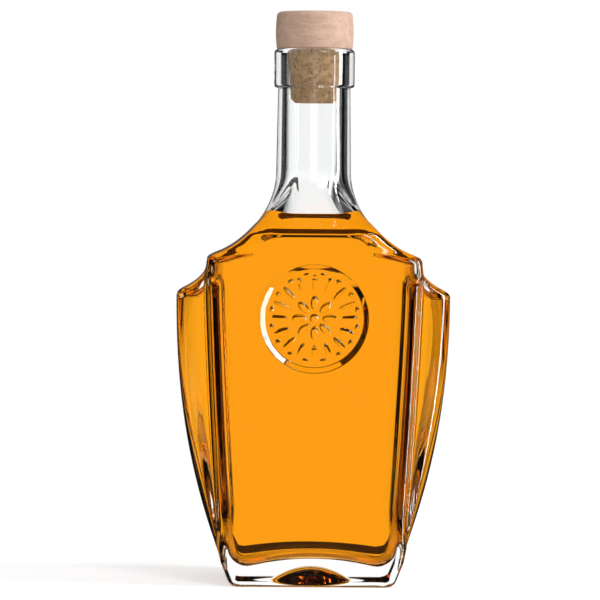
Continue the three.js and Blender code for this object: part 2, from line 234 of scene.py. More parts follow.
medallionHalfColumns = 10  # the medallion's field, in columns to each side of the panel's middle

rimZ = topOf("bottle")
ringUnderZ = rimZ - glass["ringHeight"]
neckFootZ = ringUnderZ - glass["neckHeight"]
blockCornerZ = neckFootZ - glass["shoulderHeight"]
wingSlopeTopZ = blockCornerZ - glass["blockCornerHeight"]
wingCornerZ = wingSlopeTopZ - glass["wingSlopeHeight"]
foldZ = blockCornerZ + glass["foldRise"]
fillZ = topOf("liquor")


def hollow(u):
    # rises from 0 to 1 along the hollow curve of the shoulders: 1 - (1 - u^2)^power
    return 1 - (1 - clamp01(u) ** 2) ** glass["shoulderHollow"]


def softened(profile, z, reach):
    # the mean of a profile over a short height, which rounds its corners
    return sum(profile(z + t * reach) for t in np.linspace(-1, 1, 9)) / 9


def neckRadiusAt(z):
    # narrows evenly from the shoulder up to the mouth ring
    return mix(glass["neckFootRadius"], glass["neckTopRadius"],
               clamp01((z - neckFootZ) / glass["neckHeight"]))


def sharpHalfWidth(z):
    # from the front: a bulging curve up the side, a hollow slope over the wing, the block's corner and
    # the hollow shoulder up to the neck
    g = glass
    side = mix(g["wingHalfWidth"], g["baseHalfWidth"], clamp01(1 - z / wingCornerZ) ** g["sideBulge"])
    down = clamp01((wingSlopeTopZ - z) / g["wingSlopeHeight"])
    slope = mix(g["blockHalfWidth"], g["wingHalfWidth"], down ** g["wingSlopeHollow"])
    corner = mix(g["blockHalfWidth"], g["blockTopHalfWidth"],
                 (z - wingSlopeTopZ) / g["blockCornerHeight"])
    shoulder = mix(g["neckFootRadius"], g["blockTopHalfWidth"],
                   hollow((neckFootZ - z) / g["shoulderHeight"]))
    below = [z < wingCornerZ, z < wingSlopeTopZ, z < blockCornerZ, z < neckFootZ]
    return np.select(below, [side, slope, corner, shoulder], neckRadiusAt(z))


def sharpHalfDepth(z):
    # from the side: straight panels that lean in towards the table, and a hollow shoulder
    g = glass
    panel = mix(g["baseHalfDepth"], g["topHalfDepth"], z / foldZ)
    shoulder = mix(g["neckFootRadius"], g["topHalfDepth"],
                   hollow((neckFootZ - z) / (neckFootZ - foldZ)))
    return np.select([z < foldZ, z < neckFootZ], [panel, shoulder], neckRadiusAt(z))


def halfWidthAt(z):
    return softened(sharpHalfWidth, z, glass["softness"]) - glass["finish"]


def halfDepthAt(z):
    return softened(sharpHalfDepth, z, glass["foldSoftness"]) - glass["finish"]


def stretchAt(z):
    # a corner's rounding gets wider in a level where the outline leans: sqrt(1 + lean^2)
    reach = glass["softness"]
    lean = (halfWidthAt(z - reach) - halfWidthAt(z + reach)) / (2 * reach)
    return np.minimum(glass["steepestStretch"], np.hypot(1, lean))


def cornerAt(z):
    # between a panel and the sides: small on the block, larger on the shoulders
    return mix(glass["panelCorner"], glass["shoulderEdge"],
               ease((z - wingSlopeTopZ) / (2 * glass["blockCornerHeight"])))


def blockHalfWidthAt(z):
    # the block narrows towards the table until the outline takes it over
    down = np.maximum(0, wingSlopeTopZ - z) / wingSlopeTopZ
    block = glass["blockHalfWidth"] - glass["blockNarrowing"] * down ** glass["blockNarrowingPower"]
    return np.where(z >= wingSlopeTopZ, halfWidthAt(z), np.minimum(block, halfWidthAt(z)))


def cavityDrawnInAt(z):
    # how much further than its wall the cavity stays inside the outline from the front: round its
    # own softer corners, and along the thick outer sides of the wings
    softer = np.maximum(0, halfWidthAt(z) - softened(sharpHalfWidth, z, glass["cavitySoftness"]))
    return softer + glass["sideThickening"] * (1 - ease((z - wingCornerZ) / glass["wingSlopeHeight"]))


def quarterTurn(centreX, centreY, radiusX, radiusY, start, stop, t):
    # points on an ellipse's arc: centre + radius (cos, sin), from start to stop in quarter turns
    angle = mix(start, stop, t) * halfPi
    return centreX + radiusX * np.cos(angle), centreY + radiusY * np.sin(angle)


def quarterOf(w, d, block, wingDepth, corner, stretch, root, rounding, winged, rounded):
    # a quarter of each level: a rounded box, mixed with a block that has a thinner wing on its
    # side, mixed with an ellipse
    draft, limit = glass["blockDraft"], glass["cornerLimit"]
    side = quarterShares < sideShare
    cornerX, cornerY = np.minimum(corner * stretch, w * limit), np.minimum(corner, d * limit)
    arcX, arcY = quarterTurn(w - cornerX, d - cornerY, cornerX, cornerY, 0, 1, spread["panelCorner"])
    up = quarterShares[side] / sideShare
    boxX = np.hstack([w + 0 * up, arcX, mix(w - cornerX, 0, spread["panel"])])
    boxY = np.hstack([(d - cornerY) * up, arcY, d + 0 * spread["panel"]])

    reach = w - block
    rx = np.minimum(rounding * stretch, reach * glass["wingCornerLimit"])
    r = np.minimum(root, reach * glass["rootLimit"])
    face = block - draft - corner
    parts = [
        (w + 0 * spread["wingSide"], (wingDepth - rounding) * spread["wingSide"]),
        quarterTurn(w - rx, wingDepth - rounding, rx, rounding, 0, 1, spread["wingCorner"]),
        (mix(w - rx, block + r, spread["wingFace"]), wingDepth + 0 * spread["wingFace"]),
        quarterTurn(block + r, wingDepth + r, r, r, 3, 2, spread["root"]),
        (mix(block, block - draft, spread["blockSide"]),
         mix(wingDepth + r, d - corner, spread["blockSide"])),
        quarterTurn(face, d - corner, corner, corner, 0, 1, spread["panelCorner"]),
        (mix(face, 0, spread["panel"]), d + 0 * spread["panel"]),
    ]
    wingX = np.hstack([x for x, y in parts])
    wingY = np.hstack([y for x, y in parts])
    ellipseX, ellipseY = quarterTurn(0, 0, w, d, 0, 1, quarterShares / allShares)
    x = mix(mix(boxX, wingX, winged), ellipseX, rounded)
    y = mix(mix(boxY, wingY, winged), ellipseY, rounded)
    return x, y


def wholeLevels(x, y, z):
    # mirrors quarters into whole levels, counterclockwise from +X, as rows of points
    n = quarterColumns
    there, back = np.s_[:, :n], np.s_[:, n:0:-1]
    wholeX = np.hstack([x[there], -x[back], -x[there], x[back]])
    wholeY = np.hstack([y[there], y[back], -y[there], -y[back]])
    return np.stack([wholeX, wholeY, np.broadcast_to(z, wholeX.shape)], axis=-1)


def bodyLevels(z, inset=0.0, sink=0.0):
    # the levels of the body at heights z, drawn in by inset and taken from the form lowered by
    # sink, so that the cavity keeps its wall under the sloping shoulders as well
    g = glass
    z = np.atleast_1d(np.asarray(z, dtype=float))[:, None]
    inset = np.broadcast_to(np.atleast_1d(inset), z.shape[0])[:, None]

    def least(profile):
        return np.minimum(profile(z), profile(z + sink)) - inset

    w = least(halfWidthAt) - (cavityDrawnInAt(z) if sink > 0 else 0)
    d, block = least(halfDepthAt), np.minimum(w, least(blockHalfWidthAt))
    upward = clamp01(z / wingCornerZ)
    wingDepth = mix(g["wingBaseHalfDepth"], g["wingTopHalfDepth"], upward) - inset
    rounder = np.where(inset > 0, g["cornerGain"], 0) * (sink > 0)
    rounding = np.minimum(mix(g["wingBaseRounding"], g["wingTopRounding"], upward),
                          wingDepth * g["wingDepthLimit"])
    rounded = ease((z + sink - foldZ) / (neckFootZ - foldZ))
    winged = clamp01((w - block) / g["wingFade"])
    x, y = quarterOf(w, d, block, wingDepth, cornerAt(z) + rounder, stretchAt(z), g["root"] + rounder,
                     rounding, winged, rounded)
    return wholeLevels(x, y, z)


def roundLevels(radius, z):
    # circles, with the same columns as the body's levels
    radius, z = np.atleast_1d(radius)[:, None], np.atleast_1d(z)[:, None]
    x, y = quarterTurn(0, 0, radius, radius, 0, 1, quarterShares / allShares)
    return wholeLevels(x, y, z)


def heights(*stops):
    # heights from stop to stop: pairs of a height and the number of steps up to the next one
    ends = [z for z, steps in stops]
    parts = [np.linspace(z, end, steps + 1)[:-1] for (z, steps), end in zip(stops, ends[1:])]
    return np.concatenate(parts + [[ends[-1]]])


def outsideHeights():
    # closer where the outline bends: at the heel, the corners and the panel's fold
    s, heel = glass["softness"], glass["heelRadius"]
    return heights((heel, 3), (heel + 1.5, 14), (wingCornerZ - 35, 17), (wingCornerZ - s * 1.6, 14),
                   (wingCornerZ + s * 1.6, 12), (wingSlopeTopZ - s * 1.4, 18),
                   (blockCornerZ + s * 1.4, 8), (foldZ - 2.2, 14), (foldZ + 2.2, 25), (neckFootZ, 0))


def quarterRound(centreR, centreZ, radius, start, stop, n):
    # points of radius and height on a quarter round of a turned profile
    t = np.linspace(0, 1, n)
    return np.stack(quarterTurn(centreR, centreZ, radius, radius, start, stop, t), axis=-1)


def undersideLevels():
    # a round dome, z = mix(height, edge height, f^2) at f times its radius, in a shallow hollow
    # inside the flat foot and the heel
    g = glass
    f = np.linspace(0.05, 1, 18)
    dome = roundLevels(g["puntRadius"] * f, mix(g["puntHeight"], g["puntEdgeHeight"], f ** 2))
    footInner = g["footInset"] + g["footWidth"]
    inner = bodyLevels(0, footInner)[0]
    out = np.linspace(0, 1, 8)[1:, None, None]
    punt = mix(dome[-1][None], inner[None], out)
    punt[..., 2] = g["puntEdgeHeight"] * (1 - out[..., 0] ** 2)
    foot = bodyLevels([0, 0, 0], [footInner - 0.5, g["footInset"] + 0.4, g["footInset"]])
    t = np.linspace(0, 1, 8)[1:-1] * halfPi
    heel = bodyLevels(g["heelRadius"] * (1 - np.cos(t)), g["footInset"] * (1 - np.sin(t)))
    return np.concatenate([dome, punt, foot, heel])


def mouthLevels():
    # the straight neck, the mouth ring and the rim, and over the rim into the bore
    g = glass
    under, top = g["ringRadius"] - g["ringUnderRounding"], g["ringRadius"] - g["ringTopRounding"]
    lip, root = g["boreRadius"] + g["mouthRounding"], g["ringRoot"]
    neckZ = np.linspace(neckFootZ, ringUnderZ - 1.5 * root, 12)[1:]
    profile = np.concatenate([
        np.stack([neckRadiusAt(neckZ), neckZ], axis=-1),
        quarterRound(g["neckTopRadius"] + root, ringUnderZ - root, root, 2, 1, 4),
        quarterRound(under, ringUnderZ + g["ringUnderRounding"], g["ringUnderRounding"], 3, 4, 7),
        [[g["ringRadius"], mix(ringUnderZ, rimZ, 0.2)], [g["ringRadius"], mix(ringUnderZ, rimZ, 0.8)]],
        quarterRound(top, rimZ - g["ringTopRounding"], g["ringTopRounding"], 0, 1, 8),
        quarterRound(lip, rimZ - g["mouthRounding"], g["mouthRounding"], 1, 2, 7),
    ])
    return roundLevels(profile[:, 0], profile[:, 1])


def wallAt(z):
    # the wall grows from the body's to the neck's over the top of the shoulder
    grown = ease((z - neckFootZ + glass["wallThickening"]) / glass["wallThickening"])
    return mix(glass["wall"], glass["neckFootRadius"] - glass["boreRadius"], grown)


def arched(levels):
    # lifts the lowest levels in the middle: arch (1 - (x / reach)^2), dying out upwards
    g = glass
    x, z = levels[..., 0], levels[..., 2]
    rise = g["floorArch"] * (1 - (x / np.abs(x).max(axis=1, keepdims=True)) ** 2)
    fade = clamp01(1 - (z - g["floor"]) / g["floorArchFade"])
    levels[..., 2] = z + rise * fade
    return levels


def unevenBy(levels):
    # slow waves of the blown inner surface, a few hundredths of a millimetre: a sum of sines of the
    # angle and the height
    angle = np.arctan2(levels[..., 1], levels[..., 0])
    z = levels[..., 2]
    wave = (np.sin(3 * angle + z / 13) + 0.8 * np.sin(5 * angle - z / 9 + 1.3)
            + 0.6 * np.sin(2 * angle + z / 6.5 + 2.1) + 0.5 * np.sin(7 * angle + z / 17 + 0.4))
    reach = np.hypot(levels[..., 0], levels[..., 1])
    levels[..., :2] *= (1 + glass["waviness"] * wave / reach)[..., None]
    return levels


def cavityLevels(wallZ):
    # from the middle of the floor up to the last of the given heights
    g = glass
    t = np.linspace(0, 1, 10)[:-1] * halfPi
    fillet = bodyLevels(g["floor"] + g["floorFillet"] * (1 - np.cos(t)),
                        g["wall"] + g["floorFillet"] * (1 - np.sin(t)), g["slopeWall"])
    walls = bodyLevels(wallZ, wallAt(wallZ), g["slopeWall"])
    levels = unevenBy(arched(np.concatenate([fillet, walls])))
    crown = g["floor"] + g["floorArch"]
    f = np.linspace(0.1, 0.97, 12)[:, None, None]
    floor = levels[0][None] * f
    floor[..., 2] = mix(crown, levels[0][None, :, 2], f[..., 0] ** 2)
    return crown, np.concatenate([floor, levels])


def cavityHeights(topZ):
    # closer where the outline bends, as outside, and up to the given height
    s, lower = glass["softness"], glass["slopeWall"]
    z = heights((glass["floor"] + glass["floorFillet"], 14), (wingCornerZ - 25, 11),
                (wingCornerZ - lower - s * 1.6, 12), (wingCornerZ + s * 1.6, 9),
                (wingSlopeTopZ - lower - s, 16), (blockCornerZ + s * 1.4, 8),
                (foldZ - 3.2, 14), (foldZ + 2.2, 25), (neckFootZ, 0))
    return np.append(z[z < topZ - 0.05], topZ)


# The medallion in the front panel: a plain rosette with rays and beads, in a round recess
medallion = {
    "height": 100, "radius": 20.4, "depth": 1.8, "bevel": 2.3, "bevelRounding": 0.12,
    "petals": 8, "rosetteRadius": 8.2, "petalHalfLength": 0.31,  # of the rosette's radius
    "rays": 16, "rayInner": 10.2, "rayOuter": 16.2, "raySlimness": 0.24,
    "bead": 0.8, "relief": 0.7,
    "crispness": 0.3,  # the power of the domes, whose edges get steeper below 0.5
    "margin": 2.2, "flatRings": (0.7, 0.25),  # of the panel round the recess
}


def lensRelief(r, angle, count, turn, distance, halfLength, halfWidth):
    # the height of low domes repeated round the centre: (1 - (u/a)^2 - (v/b)^2)^crispness
    step = 2 * math.pi / count
    away = (angle - turn + step / 2) % step - step / 2
    u = (r * np.cos(away) - distance) / halfLength
    v = r * np.sin(away) / halfWidth
    return np.maximum(0, 1 - u * u - v * v) ** medallion["crispness"]


def bevelAt(t):
    # rises from 0 to 1 at an even slope, with a short parabola at each end
    e = medallion["bevelRounding"]
    t = clamp01(t)
    rise = np.select([t < e, t > 1 - e], [t * t / (2 * e), 1 - e - (1 - t) ** 2 / (2 * e)], t - e / 2)
    return rise / (1 - e)


def reliefAt(r, angle):
    # the highest of the domes of a button in the middle, the petals, the rays and the beads
    m = medallion
    petal = m["rosetteRadius"] * m["petalHalfLength"]
    ray = (m["rayOuter"] - m["rayInner"]) / 2
    domes = [
        np.maximum(0, 1 - (r / (2 * m["bead"])) ** 2) ** m["crispness"] + 0 * angle,
        lensRelief(r, angle, m["petals"], 0, m["rosetteRadius"] - petal, petal, petal / 2),
        lensRelief(r, angle, m["rays"], 0, m["rayInner"] + ray, ray, ray * m["raySlimness"]),
        lensRelief(r, angle, m["rays"], math.pi / m["rays"], m["rayOuter"], m["bead"], m["bead"]),
    ]
    return m["relief"] * np.maximum.reduce(domes)


def medallionGrid(edge, finer):
    # rings from the edge of the field inwards; depth is an even bevel, less the relief
    m = medallion
    centreZ = m["height"]
    turn = np.unwrap(np.arctan2(edge[:, 2] - centreZ, edge[:, 0]))
    closed = np.append(turn, turn[0] + 2 * math.pi)
    angle = np.interp(np.arange(len(turn) * finer) / finer, np.arange(len(closed)), closed)[None]
    floorRadius = m["radius"] - m["bevel"]
    r = np.concatenate([m["radius"] + np.array(m["flatRings"]),
                        np.linspace(m["radius"], floorRadius, 18),
                        np.linspace(floorRadius, 0, 68)[1:-1]])[:, None]
    depth = m["depth"] * bevelAt((m["radius"] - r) / m["bevel"]) - reliefAt(r, angle)
    x, z = r * np.cos(angle), centreZ + r * np.sin(angle)
    return np.stack([x, -halfDepthAt(z) + depth, z], axis=-1)


def bottleMesh():
    # rows of points from the middle of the punt up the outside, over the rim and down the cavity,
    # with a square field cut out of the panel for the medallion's rings
    outside = bodyLevels(outsideHeights())
    contactZ = fillZ + liquor["creep"]
    innerZ = cavityHeights(neckFootZ)
    innerZ = np.sort(np.append(innerZ[np.abs(innerZ - contactZ) > 0.2], contactZ))
    crown, cavity = cavityLevels(innerZ)
    boreZ = np.linspace(rimZ - glass["mouthRounding"], neckFootZ, 14)[1:-1]
    bore = roundLevels(np.full(len(boreZ), glass["boreRadius"]), boreZ)
    under = undersideLevels()
    rows = np.concatenate([under, outside, mouthLevels(), bore, cavity[::-1]])
    quads = gridFaces(len(rows), columns)

    middle = 3 * quarterColumns
    left, right = middle - medallionHalfColumns, middle + medallionHalfColumns
    levelZ = rows[:, middle, 2]
    field = len(under) + np.arange(len(outside))
    reach = medallion["radius"] + medallion["margin"]
    low = field[levelZ[field] < medallion["height"] - reach][-1]
    high = field[levelZ[field] > medallion["height"] + reach][0]
    keep = np.ones(quads.shape[:2], dtype=bool)
    keep[low:high, left:right] = False
    faces = quads[keep]

    bottom, top = np.arange(left, right), np.arange(right, left, -1)
    loop = np.concatenate([low * columns + bottom, np.arange(low, high) * columns + right,
                           high * columns + top, np.arange(high, low, -1) * columns + left])
    points = rows.reshape(-1, 3)
    finer = 2
    patch = medallionGrid(points[loop], finer)
    start = len(points)
    patchColumns = patch.shape[1]
    rim = start + np.arange(patchColumns)
    strip = np.stack([loop, np.roll(loop, -1), np.roll(rim, -2)[::finer], rim[1::finer], rim[::finer]],
                     axis=-1)
    patchFaces = gridFaces(len(patch), patchColumns, start).reshape(-1, 4)
    points = np.concatenate([points, patch.reshape(-1, 3)])

    middleZ = np.float64(medallion["height"])
    middleY = medallion["depth"] - medallion["relief"] - halfDepthAt(middleZ)
    poles = np.array([[0, 0, glass["puntHeight"]], [0, 0, crown], [0, middleY, middleZ]])
    first = len(points)
    points = np.concatenate([points, poles])
    lastRow = (len(rows) - 1) * columns + np.arange(columns)
    lastRing = start + (len(patch) - 1) * patchColumns + np.arange(patchColumns)
    fans = np.concatenate([fanFaces(first, np.arange(columns), False),
                           fanFaces(first + 1, lastRow, True), fanFaces(first + 2, lastRing, True)])
    allFaces = faces.tolist() + patchFaces.tolist() + strip.tolist() + fans.tolist()

    wetFrom = len(under) + len(outside)
    rowOf = np.nonzero(keep)[0]
    wetQuads = (rowOf > wetFrom) & (levelZ[rowOf] <= contactZ + 0.01)
    wet = np.zeros(len(allFaces), dtype=np.int32)
    wet[:len(faces)] = wetQuads
    wet[len(allFaces) - len(fans) + columns:len(allFaces) - len(fans) + 2 * columns] = 1
    return points, allFaces, wet


# The liquor: it fills the cavity a hair into the glass, so that no film of air lies between them
liquor = {
    "creep": 0.9,  # how far it climbs the glass
    "creepReach": 1.6,
    "overlap": 0.04,
    "tint": (1.0, 0.42, 0.012),
    "refraction": 1.36,
    "absorption": (1.0, 0.83, 0.35),
    "density": 22,
    "wettedGloss": 0.06,  # of the gloss of dry glass, where the glass and the liquor meet
}


def liquorMesh():
    # the cavity's levels moved outwards along their normals, and a surface that climbs to the glass:
    # creep e^(-distance / creepReach)
    contactZ = fillZ + liquor["creep"]
    crown, levels = cavityLevels(cavityHeights(contactZ))
    along = np.roll(levels, -1, axis=1) - np.roll(levels, 1, axis=1)
    upward = np.gradient(levels, axis=0)
    normal = np.cross(along, upward)
    normal /= np.linalg.norm(normal, axis=-1, keepdims=True)
    wall = levels + liquor["overlap"] * normal
    wall[-1, :, 2] = contactZ
    f = (1 - np.linspace(0, 1, 26)[1:-1] ** 1.7)[:, None, None]
    surface = wall[-1][None] * f
    shore = np.hypot(wall[-1, :, 0], wall[-1, :, 1])[None] * (1 - f[..., 0])
    surface[..., 2] = fillZ + liquor["creep"] * np.exp(-shore / liquor["creepReach"])
    rows = np.concatenate([wall, surface])
    points = np.concatenate([rows.reshape(-1, 3), [[0, 0, crown - liquor["overlap"]], [0, 0, fillZ]]])
    last = len(points) - 1
    quads = gridFaces(len(rows), columns).reshape(-1, 4)
    lastRow = (len(rows) - 1) * columns + np.arange(columns)
    fans = np.concatenate([fanFaces(last - 1, np.arange(columns), False),
                           fanFaces(last, lastRow, True)])
    top = np.zeros(len(quads) + len(fans), dtype=np.int32)
    top[(len(wall) - 1) * columns:len(quads)] = 1
    top[len(quads) + columns:] = 1
    return points, quads.tolist() + fans.tolist(), top


def clearShader(tree, colour, refraction, wet):
    # smooth and see-through; where glass and liquor meet they hardly reflect, so the gloss is dark
    shader = addNode(tree, "ShaderNodeBsdfPrincipled", {
        "Base Color": (*colour, 1), "Roughness": 0.0, "IOR": refraction, "Transmission Weight": 1})
    if wet:
        gloss = liquor["wettedGloss"]
        shader.inputs["Specular Tint"].default_value = (gloss, gloss, gloss, 1)
    return shader


def glassMaterial(name, wet):
    material, tree = newMaterial(name)
    place = addNode(tree, "ShaderNodeTexCoord").outputs["Object"]
    shader = clearShader(tree, glass["colour"], glass["refraction"], wet)
    ripple = raised(tree, objectNoise(tree, place, glass["rippleScale"], 1),
                    glass["rippleStrength"], glass["rippleHeight"])
    tree.links.new(ripple, shader.inputs["Normal"])
    addNode(tree, "ShaderNodeOutputMaterial", {"Surface": shader.outputs["BSDF"]})
    return material


def liquorMaterial(name, wet):
    material, tree = newMaterial(name)
    shader = clearShader(tree, liquor["tint"], liquor["refraction"], wet)
    depth = addNode(tree, "ShaderNodeVolumeAbsorption", {
        "Color": (*liquor["absorption"], 1), "Density": liquor["density"]})
    addNode(tree, "ShaderNodeOutputMaterial", {
        "Surface": shader.outputs["BSDF"], "Volume": depth.outputs["Volume"]})
    return material


points, faces, wet = bottleMesh()
glassMaterials = [glassMaterial("clearGlass", False), glassMaterial("wettedGlass", True)]
addPiece("glass_bottle", points, faces, glassMaterials, "bottle", "bottle", wet)
points, faces, top = liquorMesh()
liquorMaterials = [liquorMaterial("amberLiquor", True), liquorMaterial("liquorSurface", False)]
addPiece("amber_liquor", points, faces, liquorMaterials, "bottle", "liquor", top)


# Stopper: a turned beech head on a cork shank
stopper = {
    "steps": 160,
    "headRadius": 14.7, "headEdgeRadius": 14.35, "topRounding": 1.7, "underRounding": 0.5,
    "turning": 0.012, "turningPitch": 0.55,  # marks left by the lathe
    "play": 0.3,  # round the shank
    "shankTaper": 1.4, "shankChamfer": 1.6, "pits": 0.09,
}


def turnedMesh(profile, relief=None):
    # a profile of radius and height carried round the axis, closed at its two ends
    angle = np.linspace(0, 2 * math.pi, stopper["steps"] + 1)[None, :-1]
    r, z = profile[1:-1, 0][:, None], profile[1:-1, 1][:, None]
    r = r + (relief(angle, z, r) if relief else 0)
    rows = np.stack([r * np.cos(angle), r * np.sin(angle), z + 0 * angle], axis=-1)
    poles = [[0, 0, profile[0, 1]], [0, 0, profile[-1, 1]]]
    points = np.concatenate([rows.reshape(-1, 3), poles])
    last = len(points) - 1
    count = stopper["steps"]
    lastRow = (len(rows) - 1) * count + np.arange(count)
    quads = gridFaces(len(rows), count).reshape(-1, 4)
    fans = np.concatenate([fanFaces(last - 1, np.arange(count), False),
                           fanFaces(last, lastRow, True)])
    return points, quads.tolist() + fans.tolist()


def headProfile():
    # from the middle of the socket round the head to the middle of its top; the side swells by a
    # parabola and carries the lathe's fine waves
    s = stopper
    low, high = bottomOf("stopper_head"), topOf("stopper_head")
    socket, socketTop = glass["boreRadius"], topOf("stopper_shank") + s["play"]
    edge, under, over = s["headEdgeRadius"], s["underRounding"], s["topRounding"]
    sideZ = np.linspace(low + under, high - over, 44)
    t = np.linspace(-1, 1, 44)
    turning = s["turning"] * np.sin(2 * math.pi * sideZ / s["turningPitch"]) * (1 - t ** 6)
    side = edge + (s["headRadius"] - edge) * (1 - t * t) + turning
    return np.concatenate([
        [[0, socketTop], [socket - 0.3, socketTop], [socket, socketTop], [socket, low + 0.3],
         [socket + 0.3, low], [edge - under - 0.4, low]],
        quarterRound(edge - under, low + under, under, 3, 4, 6),
        np.stack([side, sideZ], axis=-1)[1:-1],
        quarterRound(edge - over, high - over, over, 0, 1, 12),
        [[edge - over - 0.5, high], [6, high], [1, high], [0, high]],
    ])


def shankProfile():
    # from the middle of the foot up the tapered side to the middle of the top
    s = stopper
    foot, top = bottomOf("stopper_shank"), topOf("stopper_shank")
    radius, chamfer = glass["boreRadius"] - s["play"], s["shankChamfer"]
    slim = radius - s["shankTaper"]
    sideZ = np.linspace(foot + chamfer, rimZ - 1, 60)
    side = np.stack([mix(slim, radius, (sideZ - sideZ[0]) / (sideZ[-1] - sideZ[0])), sideZ], axis=-1)
    t = np.linspace(0, 1, 6)
    edge = np.stack([mix(slim - chamfer, slim, t), mix(foot, foot + chamfer, t)], axis=-1)
    return np.concatenate([
        [[0, foot], [2, foot], [4, foot], [6, foot], [slim - chamfer - 0.4, foot]], edge, side[1:],
        [[radius, top - 0.2], [radius - 0.2, top], [0, top]],
    ])


def corkPits(angle, z, r):
    # shallow pits where the sum of four sines is large, deepest a tenth of a millimetre, on the part
    # of the side that is in the bore
    wave = (np.sin(9 * angle + 1.9 * z) + np.sin(14 * angle - 2.7 * z + 1)
            + np.sin(23 * angle + 3.3 * z + 2) + np.sin(5 * angle + 4.1 * z + 0.5))
    return -stopper["pits"] * clamp01((wave - 1.6) / 1.4) * (z < rimZ - 1.5) * (r > 4)


beech = {
    "dark": (0.57, 0.35, 0.245), "pale": (0.81, 0.575, 0.45), "fleck": (0.36, 0.2, 0.13),
    "grainTurn": (0, 0.03, 0.2), "grainStretch": 0.06, "fleckStretch": 0.22,
    "fibreScale": 2600, "bandScale": 420, "fleckScale": 3200,  # by the metre
}
cork = {
    "dark": (0.52, 0.31, 0.155), "pale": (0.75, 0.5, 0.275), "pore": (0.1, 0.045, 0.02),
    "grainScale": 620, "cloudScale": 300, "poreScale": 1100,
}


def beechMaterial():
    # pale beech: fibres drawn out along X, slow bands across them and short darker flecks
    material, tree = newMaterial("paleBeech")
    place = addNode(tree, "ShaderNodeTexCoord").outputs["Object"]
    along, fleckAlong = [addNode(tree, "ShaderNodeMapping", {
        "Vector": place, "Scale": (stretch, 1, 1), "Rotation": beech["grainTurn"]}).outputs["Vector"]
        for stretch in (beech["grainStretch"], beech["fleckStretch"])]
    fibre = objectNoise(tree, along, beech["fibreScale"], 4, Roughness=0.6)
    band = objectNoise(tree, along, beech["bandScale"], 2)
    fleck = objectNoise(tree, fleckAlong, beech["fleckScale"], 0)
    grain = addNode(tree, "ShaderNodeMix", {"Factor": 0.45, "A": fibre, "B": band}).outputs["Result"]
    colour = twoTones(tree, grain, 0.33, beech["dark"], 0.66, beech["pale"])
    flecks = mapped(tree, fleck, From_Min=0.68, From_Max=0.78, To_Max=0.4)
    shader = addNode(tree, "ShaderNodeBsdfPrincipled", {
        "Base Color": spotted(tree, flecks, colour, beech["fleck"]),
        "Roughness": mapped(tree, fibre, To_Min=0.5, To_Max=0.68), "Specular IOR Level": 0.15,
        "Normal": raised(tree, fibre, 0.35, 0.0002)})
    addNode(tree, "ShaderNodeOutputMaterial", {"Surface": shader.outputs["BSDF"]})
    return material


def corkMaterial():
    # cork: grains of a few tones, with dark pores between them
    material, tree = newMaterial("tanCork")
    place = addNode(tree, "ShaderNodeTexCoord").outputs["Object"]
    grains = addNode(tree, "ShaderNodeTexVoronoi", {"Vector": place, "Scale": cork["grainScale"]})
    tone = addNode(tree, "ShaderNodeSeparateColor", {"Color": grains.outputs["Color"]}).outputs["Red"]
    cloud = objectNoise(tree, place, cork["cloudScale"], 4)
    blend = addNode(tree, "ShaderNodeMix", {"Factor": 0.55, "A": tone, "B": cloud}).outputs["Result"]
    colour = twoTones(tree, blend, 0.25, cork["dark"], 0.75, cork["pale"])
    pores = mapped(tree, objectNoise(tree, place, cork["poreScale"], 1),
                   From_Min=0.62, From_Max=0.7, To_Max=0.75)
    shader = addNode(tree, "ShaderNodeBsdfPrincipled", {
        "Base Color": spotted(tree, pores, colour, cork["pore"]), "Roughness": 0.8,
        "Specular IOR Level": 0.1, "Normal": raised(tree, cloud, 0.5, 0.0004)})
    addNode(tree, "ShaderNodeOutputMaterial", {"Surface": shader.outputs["BSDF"]})
    return material


points, faces = turnedMesh(headProfile())
addPiece("wooden_head", points, faces, [beechMaterial()], "stopper", "stopper_head")
points, faces = turnedMesh(shankProfile(), corkPits)
addPiece("cork_shank", points, faces, [corkMaterial()], "stopper", "stopper_shank")


# Floor, backdrop and light
studio = {
    "floorRadius": 0.7, "floorCorners": 96,
    "floorTone": 0.8, "floorGlow": 0.55,
    "skyLight": 0.42,  # what the world gives to matt surfaces
    "through": 1.08,  # of the background as the glass shows it
    "dark": 0.004,  # of the gaps between the screens
    # brightness of the background as the glass shows it, by degrees clockwise from +Y: white screens
    # behind, beside and before the bottle, with dark gaps between them
    "screens": [(-180, 1), (-166, 1), (-164, 0), (-105, 0), (-103, 0.5), (-77, 0.5), (-75, 0), (-31, 0),
                (-27, 0.6), (-19, 1), (13, 1), (17, 0.8), (20, 0), (75, 0), (77, 0.5), (103, 0.5),
                (105, 0), (164, 0), (166, 1), (180, 1)],
    # brightness of the table under the screens
    "table": [(-180, 1), (-42, 1), (-36, 0.03), (36, 0.03), (42, 1), (180, 1)],
    # the screens' top and foot, and from where down the table is bright all round, as the height
    # of a direction of length 1
    "screenTop": 0.45, "screenBottom": -0.125, "tableFront": -0.38,
    "reflected": 0.06,  # of the background as the outside of the glass mirrors it
    # a white card on the right that only the gloss shows: azimuth in degrees, heights as above
    "card": {"from": 93, "to": 104, "bottom": -0.6, "top": 0.93, "bright": 15},
}


